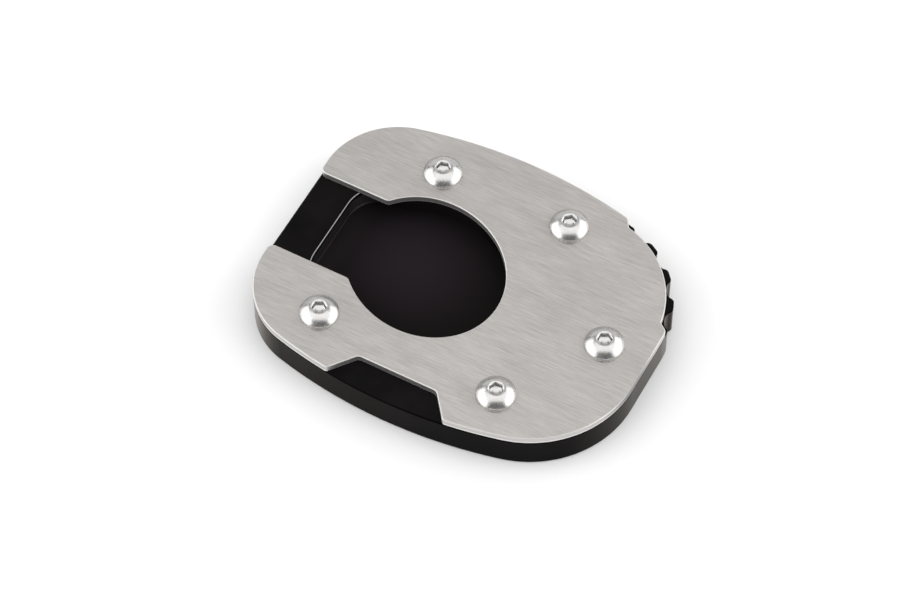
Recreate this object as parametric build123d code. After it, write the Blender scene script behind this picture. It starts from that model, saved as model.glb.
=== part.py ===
from build123d import *
import os
from math import atan2, cos, degrees, radians, sin, sqrt, tan

# All sizes are in millimetres. The part lies flat: X runs from the open mouth (-X) to the round toe (+X),
# Z is up, and the origin is on the ground under the middle of the base.

# Outline shared by the base and the top plate
body_length = 93.7
body_width = 75.0
side_radius = 122.0            # the two long sides are shallow arcs
side_crown_x = -3.25           # where the long sides are widest
mouth_flat = 3.1               # straight run of the mouth end beside the mouth, before its corners start
toe_radius = 27.0              # corners at the far end

# Thicknesses and edge breaks
base_height = 8.5
plate_thickness = 2.0
ground_chamfer = 0.4
base_top_chamfer = 0.25
plate_edge_break = 0.2

# Cut-out in the plate: an oval for the stand's foot and a straight mouth for its leg
cutout_reach = 35.55            # from the mouth end to the oval's middle
cutout_y = -0.7
cutout_half_length = 20.9
cutout_half_width = 18.15
cutout_turn = -28.8            # long axis against X, degrees
mouth_width = 23.9
mouth_y = -0.3
plate_corner_radius = 1.6      # at the mouth, and where the relief runs out

# Pocket milled in the base, a little wider than the oval so that the plate holds the foot down
plate_lip = 1.5
pocket_wall = 9.9              # metal left between the pocket and the mouth end
pocket_depth = 6.0
pocket_end_width = 33.5
pocket_end_radius = 8.5
pocket_edge_chamfer = 0.35

# Notch in the plate's front edge, which leaves a bare ledge on the base
notch_x = -2.65
notch_back_width = 20.5
notch_back_depth = 7.35        # behind the widest line of the front side
notch_flank_angle = 52.0       # against X, degrees
notch_inner_radius = 1.8
notch_outer_radius = 0.9

# Relief in the plate round the rear toe corner, which leaves the base's teeth showing
relief_depth = 1.9
relief_middle_angle = 42.1
relief_half_angle = 33.9
relief_flank_angle = 45.0
relief_inner_radius = 0.6

# Rounded teeth on the base's rear toe corner, left standing between milled gaps
gap_count = 4
gap_pitch_angle = 18.5
gap_middle_angle = 41.6
gap_radius = 3.0
gap_depth = 1.7
tooth_tip_radius = 1.2

# Button-head socket screws, M5
# For each screw: its end (-1 mouth, 1 toe) and the distance from it, its side (-1 front, 1 rear) and distance
screw_insets = [
    (-1, 26.45, 1, 12.6),
    (1, 33.4, 1, 12.15),
    (1, 10.95, -1, 36.9),
    (1, 26.7, -1, 12.9),
    (-1, 20.15, -1, 13.3),
]
socket_turns = [15.0, 40.0, 28.0, 5.0, 28.0]    # how far each screw was turned when it was done up, degrees
thread_diameter = 5.0
screw_length = 8.0
screw_end_chamfer = 0.6
head_diameter = 9.4
head_height = 2.75
head_rim_height = 0.8
socket_across_flats = 3.0
socket_depth = 1.8
countersink_diameter = 4.2     # mouth of the socket's lead-in, where the dome ends
countersink_angle = 120.0

# Clearances, on the radius
thread_clearance = 0.05
plate_hole_clearance = 0.25
hole_chamfer = 0.3

# Values worked out from the ones above
plate_top = base_height + plate_thickness
cutout_x = cutout_reach - body_length / 2
relief_radius = toe_radius - relief_depth
notch_back_y = notch_back_depth - body_width / 2
screw_places = [(end * (body_length / 2 - along), side * (body_width / 2 - across))
                for end, along, side, across in screw_insets]
position_tolerance = 0.01


def polar(centre, radius, angle):
    """Point at a distance and direction from a centre."""
    return centre + Vector(radius * cos(radians(angle)), radius * sin(radians(angle)))


def toe_corner():
    """Centre of the rear toe corner, which touches the straight end and the long side's arc."""
    x = body_length / 2 - toe_radius
    y = side_centre.Y + sqrt((side_radius - toe_radius) ** 2 - (x - side_crown_x) ** 2)
    return Vector(x, y)


def mouth_end_corner():
    """Centre and radius of the rear corner between the mouth end's flat and the long side's arc."""
    y = mouth_width / 2 - mouth_y + mouth_flat
    along = -body_length / 2 - side_crown_x
    across = y - side_centre.Y
    radius = (side_radius ** 2 - along ** 2 - across ** 2) / (2 * (side_radius + along))
    return Vector(radius - body_length / 2, y), radius


side_centre = Vector(side_crown_x, body_width / 2 - side_radius)
toe_centre = toe_corner()
mouth_end_centre, mouth_end_radius = mouth_end_corner()


def body_outline():
    """Closed outline: straight ends, round corners and shallow arcs, the same either side of the X axis."""
    toe_line = toe_centre - side_centre
    mouth_line = mouth_end_centre - side_centre
    toe_angle = degrees(atan2(toe_line.Y, toe_line.X))
    mouth_angle = degrees(atan2(mouth_line.Y, mouth_line.X))
    rear = Curve() + [
        Line((body_length / 2, 0), (body_length / 2, toe_centre.Y)),
        CenterArc(toe_centre, toe_radius, 0, toe_angle),
        CenterArc(side_centre, side_radius, toe_angle, mouth_angle - toe_angle),
        CenterArc(mouth_end_centre, mouth_end_radius, mouth_angle, 180 - mouth_angle),
        Line((-body_length / 2, mouth_end_centre.Y), (-body_length / 2, 0)),
    ]
    return make_face(rear + mirror(rear, about=Plane.XZ))


def nearest_corners(face, points):
    """The face's corner nearest to each of the points."""
    return [face.vertices().sort_by_distance(point)[0] for point in points]


def corners_at_y(face, y):
    """The face's corners that lie on a line along X."""
    return face.vertices().filter_by_position(Axis.Y, y - position_tolerance, y + position_tolerance)


def round_outer_corners(face, radius):
    """The face with its outer corners rounded, by moving its outline in and out again."""
    return offset(offset(face, -radius), radius)


def oval(margin=0.0):
    """The cut-out's oval, widened by a margin."""
    shape = Ellipse(cutout_half_length + margin, cutout_half_width + margin)
    return Location((cutout_x, cutout_y, 0), (0, 0, cutout_turn)) * shape


def mouth_strip():
    """Straight way from the oval's middle out past the mouth end."""
    length = body_length
    return Pos(cutout_x - length / 2, mouth_y) * Rectangle(length, mouth_width)


def front_notch():
    """Trapezoid that widens towards the front and runs out past the edge."""
    reach = 2 * notch_back_depth
    spread = reach / tan(radians(notch_flank_angle))
    half = notch_back_width / 2
    front_y = notch_back_y - reach
    shape = make_face(Polyline(
        (notch_x - half, notch_back_y),
        (notch_x + half, notch_back_y),
        (notch_x + half + spread, front_y),
        (notch_x - half - spread, front_y),
        close=True,
    ))
    return fillet(corners_at_y(shape, notch_back_y), notch_inner_radius)


def rim_relief():
    """Band outside the relief arc, with flanks that lean outwards at both ends."""
    reach = 2 * relief_depth
    ends = []
    for side in (-1, 1):
        inner = polar(Vector(0, 0), relief_radius, side * relief_half_angle)
        ends.append((inner, polar(inner, reach, side * (relief_half_angle + relief_flank_angle))))
    (low_inner, low_outer), (high_inner, high_outer) = ends
    outer_middle = Vector(relief_radius + 2 * reach, 0)
    band = make_face(Curve() + [
        CenterArc((0, 0), relief_radius, -relief_half_angle, 2 * relief_half_angle),
        Line(high_inner, high_outer),
        ThreePointArc(high_outer, outer_middle, low_outer),
        Line(low_outer, low_inner),
    ])
    band = fillet(nearest_corners(band, [low_inner, high_inner]), relief_inner_radius)
    return Location((toe_centre.X, toe_centre.Y, 0), (0, 0, relief_middle_angle)) * band


def plate_outline():
    """The body outline less the mouth, the relief, the oval and the notch, with its corners rounded."""
    face = body_outline() - oval() - mouth_strip() - front_notch() - rim_relief()
    corners = []
    for side in (-1, 1):
        corners += corners_at_y(face, mouth_y + side * mouth_width / 2)
        relief_end = relief_middle_angle + side * relief_half_angle * toe_radius / relief_radius
        corners += nearest_corners(face, [polar(toe_centre, toe_radius, relief_end)])
    face = fillet(corners, plate_corner_radius)
    half_front = notch_back_width / 2 + notch_back_depth / tan(radians(notch_flank_angle))
    front_points = [(notch_x + side * half_front, -body_width / 2) for side in (-1, 1)]
    return fillet(nearest_corners(face, front_points), notch_outer_radius)


def gap_angles():
    """Directions of the gaps between the teeth, seen from the toe corner's centre."""
    first = gap_middle_angle - gap_pitch_angle * (gap_count - 1) / 2
    return [first + gap_pitch_angle * index for index in range(gap_count)]


def base_outline():
    """The body outline with the gaps milled in, which leaves the teeth standing, their tips rounded."""
    cutter_distance = toe_radius - gap_depth + gap_radius
    face = body_outline()
    for angle in gap_angles():
        place = polar(toe_centre, cutter_distance, angle)
        face -= Pos(place.X, place.Y) * Circle(gap_radius)
    return round_outer_corners(face, tooth_tip_radius)


def pocket():
    """Solid of the foot pocket: the oval with its margin, run out straight towards the mouth end."""
    end_x = pocket_wall - body_length / 2
    length = 2 * (cutout_x - end_x)
    straight = Pos(cutout_x, mouth_y) * RectangleRounded(length, pocket_end_width, pocket_end_radius)
    beyond = Pos(cutout_x + length / 2, mouth_y) * Rectangle(length, body_width)
    shape = oval(plate_lip) + (straight - beyond)
    floor = base_height - pocket_depth
    return extrude(Pos(0, 0, floor) * shape, pocket_depth)


def make_base():
    """Base: one block with the pocket, the teeth, five tapped holes and broken edges."""
    solid = extrude(base_outline(), base_height)
    solid = chamfer(solid.faces().sort_by(Axis.Z)[0].outer_wire().edges(), ground_chamfer)
    solid = chamfer(solid.faces().sort_by(Axis.Z)[-1].outer_wire().edges(), base_top_chamfer)
    solid -= pocket()
    rim = solid.faces().sort_by(Axis.Z)[-1].inner_wires().sort_by(SortBy.LENGTH)[-1]
    solid = chamfer(rim.edges(), pocket_edge_chamfer)
    hole_radius = thread_diameter / 2 + thread_clearance
    for x, y in screw_places:
        solid -= Pos(x, y, base_height / 2) * Cylinder(hole_radius, base_height)
        solid -= Pos(x, y, hole_chamfer / 2) * Cone(hole_radius + hole_chamfer, hole_radius, hole_chamfer)
    return solid


def make_top_plate():
    """Top plate: the outline in sheet, with clearance holes and lightly broken edges."""
    face = plate_outline()
    for x, y in screw_places:
        face -= Pos(x, y) * Circle(thread_diameter / 2 + plate_hole_clearance)
    solid = extrude(Pos(0, 0, base_height) * face, plate_thickness)
    for level in (0, -1):
        solid = chamfer(solid.faces().sort_by(Axis.Z)[level].outer_wire().edges(), plate_edge_break)
    return solid


def make_screw():
    """Button-head screw with its head's seat at Z zero and its axis on Z."""
    head_radius = head_diameter / 2
    top_radius = countersink_diameter / 2
    dome_centre_z = (top_radius ** 2 - head_radius ** 2 + head_height ** 2 - head_rim_height ** 2) / (
        2 * (head_height - head_rim_height))
    dome_radius = sqrt(top_radius ** 2 + (head_height - dome_centre_z) ** 2)
    middle_angle = (atan2(head_height - dome_centre_z, top_radius)
                    + atan2(head_rim_height - dome_centre_z, head_radius)) / 2
    dome_middle = (dome_radius * cos(middle_angle), dome_centre_z + dome_radius * sin(middle_angle))
    thread_radius = thread_diameter / 2
    section = make_face(Curve() + [
        Polyline((top_radius, head_height), (0, head_height), (0, -screw_length),
                 (thread_radius - screw_end_chamfer, -screw_length),
                 (thread_radius, screw_end_chamfer - screw_length),
                 (thread_radius, 0), (head_radius, 0), (head_radius, head_rim_height)),
        ThreePointArc((head_radius, head_rim_height), dome_middle, (top_radius, head_height)),
    ])
    solid = revolve(Plane.XZ * section, Axis.Z)
    corner_radius = socket_across_flats / sqrt(3)
    socket = RegularPolygon(corner_radius, 6)
    solid -= extrude(Pos(0, 0, head_height - socket_depth) * socket, socket_depth)
    lead_height = top_radius / tan(radians(countersink_angle / 2))
    return solid - Pos(0, 0, head_height - lead_height / 2) * Cone(0, top_radius, lead_height)


def make_screws():
    """The five screws, each as its own solid, seated on the plate."""
    screw = make_screw()
    placed = [
        Location((x, y, plate_top), (0, 0, turn)) * screw
        for (x, y), turn in zip(screw_places, socket_turns)
    ]
    return Compound(children=placed)


os.makedirs("parts", exist_ok=True)
for name, shape in (("base", make_base()), ("top_plate", make_top_plate()), ("screws", make_screws())):
    shape.label = name
    export_step(shape, f"parts/{name}.step")
    print(name, "volume", round(shape.volume, 1), "size", shape.bounding_box().size)
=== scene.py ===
import bpy
from math import atan2, cos, hypot, radians, sin, sqrt, tan
from mathutils import Matrix, Vector


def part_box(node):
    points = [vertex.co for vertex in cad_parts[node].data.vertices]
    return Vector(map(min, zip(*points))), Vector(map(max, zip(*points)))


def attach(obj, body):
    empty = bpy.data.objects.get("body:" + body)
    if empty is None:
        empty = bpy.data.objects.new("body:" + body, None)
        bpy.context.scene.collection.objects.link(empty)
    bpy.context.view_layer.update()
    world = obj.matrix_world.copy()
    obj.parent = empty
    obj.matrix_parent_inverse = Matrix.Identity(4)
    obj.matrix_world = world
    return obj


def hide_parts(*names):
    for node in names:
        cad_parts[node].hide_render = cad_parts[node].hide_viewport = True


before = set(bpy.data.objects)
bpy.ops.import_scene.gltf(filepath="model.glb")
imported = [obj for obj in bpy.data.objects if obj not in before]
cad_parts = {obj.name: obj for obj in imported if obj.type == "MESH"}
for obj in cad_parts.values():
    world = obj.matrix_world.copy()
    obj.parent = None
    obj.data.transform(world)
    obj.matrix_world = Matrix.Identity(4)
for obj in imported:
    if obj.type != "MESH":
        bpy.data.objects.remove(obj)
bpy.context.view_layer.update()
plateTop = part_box("top_plate")[1].z
bodyLow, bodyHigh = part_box("base")
print("stage: frame loaded")


# Node helpers

def newMaterial(name, **sockets):
    material = bpy.data.materials.new(name)
    material.use_nodes = True
    shader = material.node_tree.nodes["Principled BSDF"]
    for socket, value in sockets.items():
        shader.inputs[socket.replace("_", " ")].default_value = value
    return material, shader


def addNode(material, kind, **settings):
    node = material.node_tree.nodes.new(kind)
    for name, value in settings.items():
        setattr(node, name, value)
    return node


def link(material, fromSocket, toSocket):
    material.node_tree.links.new(fromSocket, toSocket)


def placeOn(material):
    return addNode(material, "ShaderNodeTexCoord").outputs["Object"]


def noise(material, perMetre, detail=3.0, roughness=0.6):
    # perMetre is how many spots fit in a metre along X, Y and Z
    mapping = addNode(material, "ShaderNodeMapping")
    mapping.inputs["Scale"].default_value = perMetre
    pattern = addNode(material, "ShaderNodeTexNoise")
    pattern.inputs["Scale"].default_value = 1.0
    pattern.inputs["Detail"].default_value = detail
    pattern.inputs["Roughness"].default_value = roughness
    link(material, placeOn(material), mapping.inputs["Vector"])
    link(material, mapping.outputs["Vector"], pattern.inputs["Vector"])
    return pattern.outputs["Fac"]


def remap(material, value, fromRange, toRange):
    spread = addNode(material, "ShaderNodeMapRange")
    spread.inputs["From Min"].default_value = fromRange[0]
    spread.inputs["From Max"].default_value = fromRange[1]
    spread.inputs["To Min"].default_value = toRange[0]
    spread.inputs["To Max"].default_value = toRange[1]
    link(material, value, spread.inputs["Value"])
    return spread.outputs["Result"]


def mask(material, value, fromRange):
    # 0 at the first end of the range and before it, 1 at the second end and past it
    return remap(material, value, fromRange, (0.0, 1.0))


def blend(material, factor, first, second):
    # first and second are colours, or sockets that carry one
    mix = addNode(material, "ShaderNodeMix", data_type="RGBA")
    link(material, factor, mix.inputs["Factor"])
    for value, socket in ((first, mix.inputs[6]), (second, mix.inputs[7])):
        if isinstance(value, tuple):
            socket.default_value = (*value, 1)
        else:
            link(material, value, socket)
    return mix.outputs[2]


def combine(material, operation, first, second):
    maths = addNode(material, "ShaderNodeMath", operation=operation)
    for value, socket in ((first, maths.inputs[0]), (second, maths.inputs[1])):
        if isinstance(value, float):
            socket.default_value = value
        else:
            link(material, value, socket)
    return maths.outputs[0]


def multiply(material, first, second):
    return combine(material, "MULTIPLY", first, second)


def bump(material, shader, height, distance, strength):
    relief = addNode(material, "ShaderNodeBump")
    relief.inputs["Strength"].default_value = strength
    relief.inputs["Distance"].default_value = distance
    link(material, height, relief.inputs["Height"])
    link(material, relief.outputs["Normal"], shader.inputs["Normal"])


def axisOf(material, vector, axis):
    split = addNode(material, "ShaderNodeSeparateXYZ")
    link(material, vector, split.inputs["Vector"])
    return split.outputs[axis]


def distanceFrom(material, vector, point):
    away = addNode(material, "ShaderNodeVectorMath", operation="DISTANCE")
    away.inputs[1].default_value = point
    link(material, vector, away.inputs[0])
    return away.outputs["Value"]


def faceTilt(material):
    # 1 on faces that look up, 0 on upright ones, 0.7 on edges broken towards the top, -1 on the underside
    return axisOf(material, addNode(material, "ShaderNodeNewGeometry").outputs["True Normal"], "Z")


# Brushed stainless of the top plate

brushedPlate = {
    "anisotropy": 0.5,
    "streaks": (170, 7000, 1500),     # short fine scratches along X
    "streakDetail": 5.0,
    "streakRoughness": 0.8,
    "streakShare": 0.8,               # the rest of the shade comes from the clouds
    "clouds": (60, 170, 100),         # broad faint patches between the scratches
    "shadeSpread": (0.35, 0.65),      # the shades that get the dark and the light colour
    "darkColour": (0.415, 0.397, 0.381),
    "lightColour": (0.705, 0.676, 0.650),
    "edgeColour": (0.66, 0.643, 0.627),
    "sideColour": (0.58, 0.567, 0.554),
    "cutColour": (0.84, 0.82, 0.80),  # paler band along the foot of the cut side
    "cutBand": (0.0004, 0.0007),      # its soft upper limit, above the plate's underside
    "thickness": 0.002,
    "levelTilt": (0.9, 0.97),         # between these tilts a face turns into a level one
    "uprightTilt": (0.35, 0.15),      # and between these into an upright one
    "roughness": 0.42,
    "edgeRoughness": 0.5,
    "edgeMetal": 0.45,                # the deburred edges are duller than the brushed face
    "sideMetal": 0.87,
    "toeShadeCentre": (0.0468, -0.007, 0.009),
    "toeShadeReach": (0.0115, 0.003),      # distances from it, where the painted shade on the edges begins and is darkest
    "toePaintedShade": 0.52,
    "scratchDepth": 0.000006,
    "bumpStrength": 0.6,
}


def makeBrushedPlate():
    plate = brushedPlate
    steel, shader = newMaterial("brushedStainless", Anisotropic=plate["anisotropy"])
    streaks = noise(steel, plate["streaks"], plate["streakDetail"], plate["streakRoughness"])
    clouds = noise(steel, plate["clouds"])
    place = placeOn(steel)
    tilt = combine(steel, "ABSOLUTE", faceTilt(steel), 0.0)
    level = mask(steel, tilt, plate["levelTilt"])
    upright = mask(steel, tilt, plate["uprightTilt"])

    share = plate["streakShare"]
    shade = combine(steel, "ADD", multiply(steel, streaks, share), multiply(steel, clouds, 1.0 - share))
    shade = mask(steel, shade, plate["shadeSpread"])
    brushed = blend(steel, shade, plate["darkColour"], plate["lightColour"])

    # The cut side with its paler foot, and the broken edges, both darkened round the toe end by a painted
    # shade
    underside = plateTop - plate["thickness"]
    bandFull, bandEnd = (underside + offset for offset in plate["cutBand"])
    band = mask(steel, axisOf(steel, place, "Z"), (bandEnd, bandFull))
    side = blend(steel, band, plate["sideColour"], plate["cutColour"])
    edge = blend(steel, upright, plate["edgeColour"], side)
    # Painted shade: the broken edges and the cut side turn darker round the toe end
    fromToe = distanceFrom(steel, place, plate["toeShadeCentre"])
    paintedToeShade = remap(steel, fromToe, plate["toeShadeReach"], (0.0, plate["toePaintedShade"]))
    edge = blend(steel, paintedToeShade, edge, (0.0, 0.0, 0.0))

    link(steel, blend(steel, level, edge, brushed), shader.inputs["Base Color"])
    topMetal = remap(steel, level, (0.0, 1.0), (plate["edgeMetal"], 1.0))
    metal = combine(steel, "MAXIMUM", topMetal, multiply(steel, upright, plate["sideMetal"]))
    link(steel, metal, shader.inputs["Metallic"])
    rough = remap(steel, level, (0.0, 1.0), (plate["edgeRoughness"], plate["roughness"]))
    link(steel, rough, shader.inputs["Roughness"])
    bump(steel, shader, streaks, plate["scratchDepth"], plate["bumpStrength"])
    brushing = addNode(steel, "ShaderNodeCombineXYZ")
    brushing.inputs["X"].default_value = 1.0
    link(steel, brushing.outputs["Vector"], shader.inputs["Tangent"])
    return steel


# Black anodised aluminium of the base

anodisedBase = {
    # Each reach holds two distances from the centre named before it, and each height two heights above the
    # ground: where the tone begins and where it is full
    "roughness": 0.2,
    "specular": 0.012,
    "specularTint": (1.0, 0.95, 0.91, 1.0),
    "grain": (2600, 2600, 2600),
    "grainDetail": 4.0,
    "grainDepth": 0.000005,
    "bumpStrength": 0.5,
    "clouds": (90, 90, 90),
    "cloudDetail": 2.0,
    "cloudSpread": (0.3, 0.7),
    "darkColour": (0.0052, 0.0048, 0.0048),
    "lightColour": (0.0084, 0.0076, 0.0078),
    "uprightTilt": (0.3, 0.2),
    "underTilt": (-0.5, -0.4),        # the underside lies before these and keeps the plain skin
    "brokenTilts": ((0.60, 0.65), (0.80, 0.75)),    # the tilt of a broken edge lies past both pairs
    "pocketHeight": (0.0075, 0.0065),
    # painted sheen: the pocket's floor is lighter round the sheen's centre and darker away from it
    "pocketSheenColour": (0.0168, 0.0130, 0.0163),
    "pocketShade": (0.0088, 0.0072, 0.0075),
    "sheenCentre": (-0.017, 0.004, 0.0025),
    "sheenReach": (0.021, 0.004),
    "endPlace": (-0.031, -0.0355),    # along X, for the painted lighter end of the pocket towards the mouth
    "endFloorLight": (0.0160, 0.0130, 0.0142),
    "endWallLight": (0.045, 0.040, 0.042),
    "footHighlight": (0.115, 0.106, 0.110),
    "footLow": (0.0027, 0.0028),      # the painted highlight line along the end wall's foot lies above this height
    "footHigh": (0.0034, 0.0033),     # and below this one
    "footFade": 4.0,
    # painted shade: the base's broken edges under the plate's rim are darkened
    "edgeColour": (0.0015, 0.0014, 0.0014),
    "rimColour": (0.17, 0.166, 0.17),
    "rimHeight": (0.00835, 0.00831),  # only the lower half of the pocket's broken edge is cut bright
    "rimCentre": (-0.0113, -0.0007, 0.0),
    "rimReach": (0.032, 0.031),       # holds the pocket and its broken edge, and no outer edge
    "glancing": (0.50, 0.81),         # facing values between which the skin turns glossy
    "glossShare": (0.01, 0.95),
    # painted shade: round the toe end the gloss is lowered, so the walls there turn darker
    "toeShadeCentre": (0.0468, -0.007, 0.004),
    "toeShadeReach": (0.016, 0.003),
    "toeShadeGloss": 0.60,
    # painted highlight: the lower teeth's upright sides are glossy at any look, so they turn lighter
    "teethSheenCentre": (0.044, 0.019, 0.004),
    "teethSheenReach": (0.012, 0.009),
}


def makeAnodisedBase():
    base = anodisedBase
    black, shader = newMaterial("blackAnodised", Roughness=base["roughness"],
                                Specular_IOR_Level=base["specular"], Specular_Tint=base["specularTint"])
    grain = noise(black, base["grain"], base["grainDetail"])
    clouds = mask(black, noise(black, base["clouds"], base["cloudDetail"]), base["cloudSpread"])
    place = placeOn(black)
    height = axisOf(black, place, "Z")
    tilt = faceTilt(black)
    upright = mask(black, combine(black, "ABSOLUTE", tilt, 0.0), base["uprightTilt"])
    near = mask(black, distanceFrom(black, place, base["rimCentre"]), base["rimReach"])
    skin = blend(black, clouds, base["darkColour"], base["lightColour"])

    # The milled pocket, with a painted sheen that fades over its floor, and a painted lighter end
    sheen = mask(black, distanceFrom(black, place, base["sheenCentre"]), base["sheenReach"])
    paintedPocketLight = blend(black, sheen, base["pocketShade"], base["pocketSheenColour"])
    # Painted light: the pocket's end towards the mouth is lighter, with a painted highlight line along its
    # wall's foot
    endLightMask = mask(black, axisOf(black, place, "X"), base["endPlace"])
    foot = multiply(black, mask(black, height, base["footLow"]), mask(black, height, base["footHigh"]))
    foot = multiply(black, foot, combine(black, "POWER", endLightMask, base["footFade"]))
    paintedEndWall = blend(black, foot, base["endWallLight"], base["footHighlight"])
    paintedEnd = blend(black, upright, base["endFloorLight"], paintedEndWall)
    paintedPocketLight = blend(black, endLightMask, paintedPocketLight, paintedEnd)
    inside = multiply(black, mask(black, height, base["pocketHeight"]), near)
    inside = multiply(black, inside, mask(black, tilt, base["underTilt"]))
    skin = blend(black, inside, skin, paintedPocketLight)

    # Edges broken towards the top: darkened by a painted shade under the plate's rim, cut bright round the
    # pocket
    lowTilts, highTilts = base["brokenTilts"]
    broken = multiply(black, mask(black, tilt, lowTilts), mask(black, tilt, highTilts))
    rim = multiply(black, multiply(black, broken, near), mask(black, height, base["rimHeight"]))
    skin = blend(black, broken, skin, base["edgeColour"])
    link(black, blend(black, rim, skin, base["rimColour"]), shader.inputs["Base Color"])

    # The skin turns glossy only at a glancing look. Amid the toe end a painted shade lowers the gloss, and a
    # painted highlight makes the lower teeth glossy at any look
    facing = addNode(black, "ShaderNodeLayerWeight").outputs["Facing"]
    gloss = remap(black, facing, base["glancing"], base["glossShare"])
    fromToe = distanceFrom(black, place, base["toeShadeCentre"])
    gloss = multiply(black, gloss, remap(black, fromToe, base["toeShadeReach"], (1.0, base["toeShadeGloss"])))
    # Painted highlight on the lower teeth's upright sides
    teeth = mask(black, distanceFrom(black, place, base["teethSheenCentre"]), base["teethSheenReach"])
    gloss = combine(black, "MAXIMUM", gloss, multiply(black, teeth, upright))
    link(black, combine(black, "MAXIMUM", gloss, rim), shader.inputs["Metallic"])
    bump(black, shader, grain, base["grainDepth"], base["bumpStrength"])
    return black


# Polished stainless of the screws

polishedScrew = {
    "haze": (700, 700, 700),
    "hazeSpread": (0.3, 0.7),
    "darkColour": (0.52, 0.51, 0.50),
    "lightColour": (0.58, 0.57, 0.56),
    "roughness": (0.24, 0.30),
}


def makePolishedScrew():
    screws = polishedScrew
    steel, shader = newMaterial("polishedStainless", Metallic=1.0)
    haze = noise(steel, screws["haze"])
    tone = mask(steel, haze, screws["hazeSpread"])
    link(steel, blend(steel, tone, screws["darkColour"], screws["lightColour"]), shader.inputs["Base Color"])
    link(steel, remap(steel, haze, screws["hazeSpread"], screws["roughness"]), shader.inputs["Roughness"])
    return steel


brushedStainless = makeBrushedPlate()
blackAnodised = makeAnodisedBase()
polishedStainless = makePolishedScrew()
for node, finish in (("base", blackAnodised), ("top_plate", brushedStainless), ("screws", polishedStainless)):
    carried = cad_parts[node]
    carried.data.materials.clear()
    carried.data.materials.append(finish)
print("stage: materials made")


# Modelling helpers

def selectOnly(*pieces):
    bpy.ops.object.select_all(action="DESELECT")
    for piece in pieces:
        piece.select_set(True)
    bpy.context.view_layer.objects.active = pieces[0]


def looksUp(face):
    return face.normal.z > 0.9


def looksDown(face):
    return face.normal.z < -0.9


def editFaces(piece, wanted):
    # opens edit mode with the faces that pass the test selected
    selectOnly(piece)
    bpy.ops.object.mode_set(mode="EDIT")
    bpy.ops.mesh.select_mode(type="FACE")
    bpy.ops.mesh.select_all(action="DESELECT")
    bpy.ops.object.mode_set(mode="OBJECT")
    for face in piece.data.polygons:
        face.select = wanted(face)
    bpy.ops.object.mode_set(mode="EDIT")


def extrudeBy(step):
    bpy.ops.mesh.extrude_region_move(TRANSFORM_OT_translate={"value": step})


def shrinkRing(share, height):
    bpy.ops.transform.resize(value=(share, share, 1), center_override=(0, 0, height))


def applyModifier(piece, kind, **settings):
    selectOnly(piece)
    bpy.ops.object.modifier_add(type=kind)
    modifier = piece.modifiers[-1]
    for name, value in settings.items():
        setattr(modifier, name, value)
    bpy.ops.object.modifier_apply(modifier=modifier.name)


def carve(piece, cutter, operation="DIFFERENCE"):
    applyModifier(piece, "BOOLEAN", operation=operation, object=cutter, solver="EXACT")
    selectOnly(cutter)
    bpy.ops.object.delete()


def mergeClose(piece, distance):
    selectOnly(piece)
    bpy.ops.object.mode_set(mode="EDIT")
    bpy.ops.mesh.select_mode(type="VERT")
    bpy.ops.mesh.select_all(action="SELECT")
    bpy.ops.mesh.remove_doubles(threshold=distance)
    bpy.ops.mesh.dissolve_degenerate(threshold=distance)
    bpy.ops.object.mode_set(mode="OBJECT")


def newPrimitive(name):
    piece = bpy.context.active_object
    piece.name = name
    bpy.ops.object.transform_apply(location=True, rotation=True, scale=True)
    return piece


# The five M5 button-head screws

buttonScrew = {
    "headDiameter": 0.0094,
    "headHeight": 0.00275,
    "rimHeight": 0.0008,
    "domeRings": 12,
    "sides": 96,
    "leadInDiameter": 0.0042,
    "leadInAngle": 130,
    "coneShare": 0.25,                # the inner end of the lead-in's cone against its outer one
    "edgeRound": 0.00012,
    "edgeSegments": 3,
    "edgeAngle": 25,                  # edges sharper than this are rounded
    "acrossFlats": 0.0031,
    "hexTurn": 30,
    "socketDepth": 0.0016,
    "drillPointDepth": 0.0007,
    "drillShare": 0.97,               # the drill point's width against the hexagon's
    "drillSides": 48,
    "socketEdgeRound": 0.000045,
    "socketEdgeSegments": 2,
    "socketEdgeAngle": 50,
    "threadDiameter": 0.005,
    "rootDiameter": 0.0042,
    "pitch": 0.0008,
    "toothShares": (0.36, 0.12, 0.16),    # of the pitch: each flank, the crest and the gap
    "threadSteps": 32,                # for each turn
    "shankLength": 0.008,
    "shankSides": 64,
    "neckShare": 0.25,                # of the rim's height
    "blankShare": 1.001,              # the blank's width against the thread's
    "tipChamfer": 0.0006,
    "mergeDistance": 0.000001,
    "smoothAngle": 24,
    # end of the body (-1 mouth, 1 toe) and distance from it, side (-1 front, 1 rear) and distance from it,
    # turn of the socket in degrees
    "places": (
        (-1, 0.02645, 1, 0.0126, 15),
        (1, 0.0334, 1, 0.01215, 40),
        (1, 0.01095, -1, 0.0369, 28),
        (1, 0.0267, -1, 0.0129, 5),
        (-1, 0.02015, -1, 0.0133, 28),
    ),
}


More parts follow.
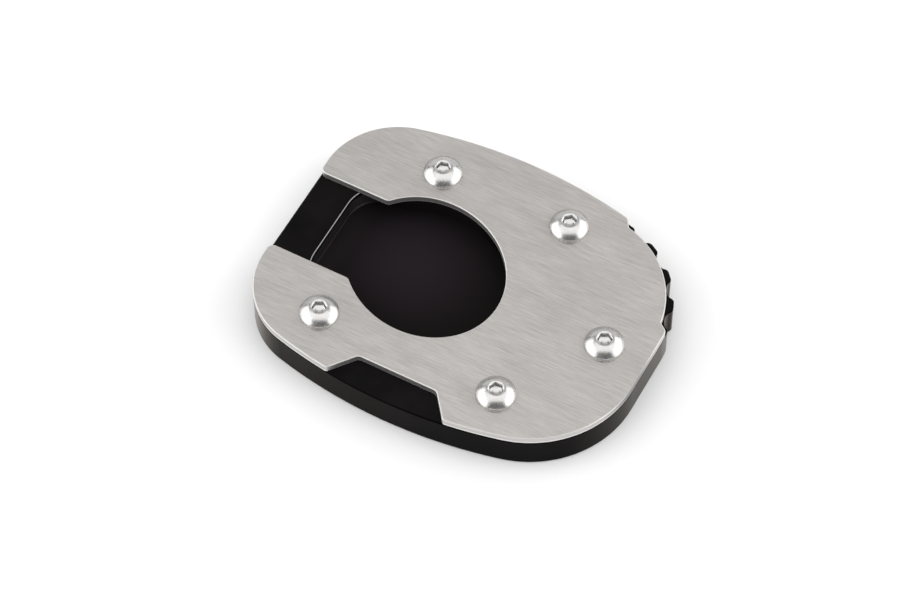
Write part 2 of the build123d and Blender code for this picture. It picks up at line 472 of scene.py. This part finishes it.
def makeHead():
    screw = buttonScrew
    edge = screw["headDiameter"] / 2
    rim = screw["rimHeight"]
    top = screw["headHeight"]
    lead = screw["leadInDiameter"] / 2
    # The dome's centre is on the axis, as far from the rim as from the lead-in's edge
    centre = (lead ** 2 - edge ** 2 + top ** 2 - rim ** 2) / (2 * (top - rim))
    dome = hypot(lead, top - centre)
    startAngle = atan2(rim - centre, edge)
    endAngle = atan2(top - centre, lead)

    bpy.ops.object.select_all(action="DESELECT")
    bpy.ops.mesh.primitive_cylinder_add(vertices=screw["sides"], radius=edge, depth=rim,
                                        location=(0, 0, rim / 2))
    head = newPrimitive("screwHead")
    editFaces(head, looksUp)
    radius, height = edge, rim
    for ring in range(1, screw["domeRings"] + 1):
        angle = startAngle + (endAngle - startAngle) * ring / screw["domeRings"]
        newRadius, newHeight = dome * cos(angle), centre + dome * sin(angle)
        extrudeBy((0, 0, newHeight - height))
        shrinkRing(newRadius / radius, newHeight)
        radius, height = newRadius, newHeight
    # The lead-in runs down as a cone, whose middle the socket then cuts away
    innerRadius = lead * screw["coneShare"]
    drop = (lead - innerRadius) / tan(radians(screw["leadInAngle"] / 2))
    extrudeBy((0, 0, -drop))
    shrinkRing(innerRadius / lead, top - drop)
    bpy.ops.object.mode_set(mode="OBJECT")
    applyModifier(head, "BEVEL", width=screw["edgeRound"], segments=screw["edgeSegments"],
                  limit_method="ANGLE", angle_limit=radians(screw["edgeAngle"]))
    return head


def cutSocket(head):
    screw = buttonScrew
    depth = screw["socketDepth"]
    floor = screw["headHeight"] - depth
    bpy.ops.mesh.primitive_cylinder_add(vertices=6, radius=screw["acrossFlats"] / sqrt(3), depth=2 * depth,
                                        location=(0, 0, floor + depth),
                                        rotation=(0, 0, radians(screw["hexTurn"])))
    carve(head, newPrimitive("hexPunch"))
    pointDepth = screw["drillPointDepth"]
    pointRadius = screw["acrossFlats"] / 2 * screw["drillShare"]
    overlap = pointDepth / 10              # how far the drill point reaches up into the socket
    bpy.ops.mesh.primitive_cone_add(vertices=screw["drillSides"], radius1=0, radius2=pointRadius,
                                    depth=pointDepth, location=(0, 0, floor - pointDepth / 2))
    drill = newPrimitive("drillPoint")
    editFaces(drill, looksUp)
    extrudeBy((0, 0, overlap))
    bpy.ops.object.mode_set(mode="OBJECT")
    carve(head, drill)
    applyModifier(head, "BEVEL", width=screw["socketEdgeRound"], segments=screw["socketEdgeSegments"],
                  limit_method="ANGLE", angle_limit=radians(screw["socketEdgeAngle"]),
                  use_clamp_overlap=False)


def makeShank():
    screw = buttonScrew
    root = screw["rootDiameter"] / 2
    crest = screw["threadDiameter"] / 2
    pitch = screw["pitch"]
    length = screw["shankLength"]
    neck = screw["rimHeight"] * screw["neckShare"]     # how far the shank reaches up into the head
    turns = int((length + neck) / pitch) + 3
    flank, top, gap = (share * pitch for share in screw["toothShares"])

    # One tooth of the thread, drawn from a single point and swept up as a helix
    bpy.ops.object.select_all(action="DESELECT")
    bpy.ops.mesh.primitive_plane_add(size=pitch)
    shank = newPrimitive("screwShank")
    bpy.ops.object.mode_set(mode="EDIT")
    bpy.ops.mesh.select_mode(type="VERT")
    bpy.ops.mesh.select_all(action="SELECT")
    bpy.ops.mesh.merge(type="CENTER")
    bpy.ops.transform.translate(value=(root, 0, -length - 1.5 * pitch))
    for step in ((crest - root, 0, flank), (0, 0, top), (root - crest, 0, flank), (0, 0, gap)):
        extrudeBy(step)
    bpy.ops.object.mode_set(mode="OBJECT")
    applyModifier(shank, "SCREW", screw_offset=pitch, iterations=turns, steps=screw["threadSteps"],
                  render_steps=screw["threadSteps"])
    bpy.ops.object.mode_set(mode="EDIT")
    bpy.ops.mesh.select_all(action="SELECT")
    bpy.ops.mesh.remove_doubles(threshold=pitch / 500)
    for height, upper in ((-length - pitch / 8, False), (neck, True)):
        bpy.ops.mesh.select_all(action="SELECT")
        bpy.ops.mesh.bisect(plane_co=(0, 0, height), plane_no=(0, 0, 1), use_fill=True,
                            clear_inner=not upper, clear_outer=upper, threshold=pitch / 10000)
    bpy.ops.mesh.select_all(action="SELECT")
    bpy.ops.mesh.normals_make_consistent(inside=False)
    bpy.ops.object.mode_set(mode="OBJECT")

    # The blank that the thread is cut on has the chamfered tip
    blankHeight = length + 2 * neck
    bpy.ops.object.select_all(action="DESELECT")
    bpy.ops.mesh.primitive_cylinder_add(vertices=screw["shankSides"], radius=crest * screw["blankShare"],
                                        depth=blankHeight, location=(0, 0, blankHeight / 2 - length))
    blank = newPrimitive("screwBlank")
    editFaces(blank, looksDown)
    bpy.ops.mesh.bevel(offset=screw["tipChamfer"], affect="EDGES")
    bpy.ops.object.mode_set(mode="OBJECT")
    carve(shank, blank, "INTERSECT")
    return shank


def placeScrews(pattern):
    centre = (bodyLow + bodyHigh) / 2
    half = (bodyHigh - bodyLow) / 2
    placed = []
    for index, (end, along, side, across, turn) in enumerate(buttonScrew["places"]):
        selectOnly(pattern)
        bpy.ops.object.duplicate(linked=False)
        copied = bpy.context.active_object
        copied.name = f"buttonScrew{index + 1}"
        copied.rotation_euler = (0, 0, radians(turn))
        copied.location = (centre.x + end * (half.x - along), centre.y + side * (half.y - across), plateTop)
        bpy.ops.object.transform_apply(location=True, rotation=True, scale=True)
        placed.append(copied)
    selectOnly(pattern)
    bpy.ops.object.delete()
    return placed


screwPattern = makeHead()
cutSocket(screwPattern)
carve(screwPattern, makeShank(), "UNION")
mergeClose(screwPattern, buttonScrew["mergeDistance"])
selectOnly(screwPattern)
bpy.ops.object.shade_smooth_by_angle(angle=radians(buttonScrew["smoothAngle"]))
screwPattern.data.materials.clear()
screwPattern.data.materials.append(polishedStainless)
for screw in placeScrews(screwPattern):
    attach(screw, "root")
    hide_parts("screws")
print("stage: screws modelled")


# Camera

cameraView = {
    "place": (0.20955, -0.3984, 0.67005),
    "azimuth": 28.3,          # degrees, turned from +Y towards -X
    "elevation": 56.0,
    "lens": 136.0,
    "shift": (-0.00056, 0.00056),
    "clip": (0.05, 20.0),
}
cameraData = bpy.data.cameras.new("camera")
camera = bpy.data.objects.new("camera", cameraData)
bpy.context.scene.collection.objects.link(camera)
cameraData.lens = cameraView["lens"]
cameraData.shift_x, cameraData.shift_y = cameraView["shift"]
cameraData.clip_start, cameraData.clip_end = cameraView["clip"]
camera.location = cameraView["place"]
camera.rotation_euler = (radians(90 - cameraView["elevation"]), 0, radians(cameraView["azimuth"]))
bpy.context.scene.camera = camera
print("stage: camera set")


# Floor and soft light

studioFloor = {"size": 12.0, "colour": (0.9, 0.9, 0.9, 1), "roughness": 0.9, "specular": 0.2}
bpy.ops.object.select_all(action="DESELECT")
bpy.ops.mesh.primitive_plane_add(size=studioFloor["size"])
floor = bpy.context.active_object
floor.name = "floor"
paleFloor, floorShader = newMaterial("paleFloor", Roughness=studioFloor["roughness"],
                                     Specular_IOR_Level=studioFloor["specular"])
floorShader.inputs["Base Color"].default_value = studioFloor["colour"]
floor.data.materials.append(paleFloor)

# Azimuth (0 at the camera's right, 90 at the back, 180 at its left) and elevation in degrees, then distance,
# width and height in metres and power in watts
softBoxes = {
    "leftBox": (183, 24, 0.9, 1.5, 0.69, 6.9),
    "rightBox": (2, 24, 0.9, 1.5, 0.69, 6.9),
    "topBox": (270, 81, 1.0, 1.9, 1.05, 9.0),
    "backBox": (90, 50, 1.2, 1.3, 0.87, 2.0),
    "backStrip": (90, 17, 1.2, 2.0, 0.6, 3.0),
    "frontStrip": (270, 8, 1.2, 2.0, 0.25, 2.4),
}
aim = Vector((0, 0, 0.005))
cameraTurn = Matrix.Rotation(radians(cameraView["azimuth"]), 4, "Z")
for name, (azimuth, elevation, distance, width, height, power) in softBoxes.items():
    lamp = bpy.data.lights.new(name, "AREA")
    lamp.shape = "RECTANGLE"
    lamp.size = width
    lamp.size_y = height
    lamp.energy = power
    softBox = bpy.data.objects.new(name, lamp)
    bpy.context.scene.collection.objects.link(softBox)
    around, up = radians(azimuth), radians(elevation)
    away = Vector((cos(up) * cos(around), cos(up) * sin(around), sin(up)))
    softBox.location = aim + cameraTurn @ (away * distance)
    softBox.rotation_euler = (aim - softBox.location).to_track_quat("-Z", "Y").to_euler()

studioWorld = {"colour": (1.0, 1.0, 1.0, 1), "strength": 0.15}
world = bpy.data.worlds.new("studio")
bpy.context.scene.world = world
world.use_nodes = True
background = world.node_tree.nodes["Background"]
background.inputs["Color"].default_value = studioWorld["colour"]
background.inputs["Strength"].default_value = studioWorld["strength"]
bpy.context.scene.view_settings.view_transform = "Standard"
print("stage: floor and lights set")
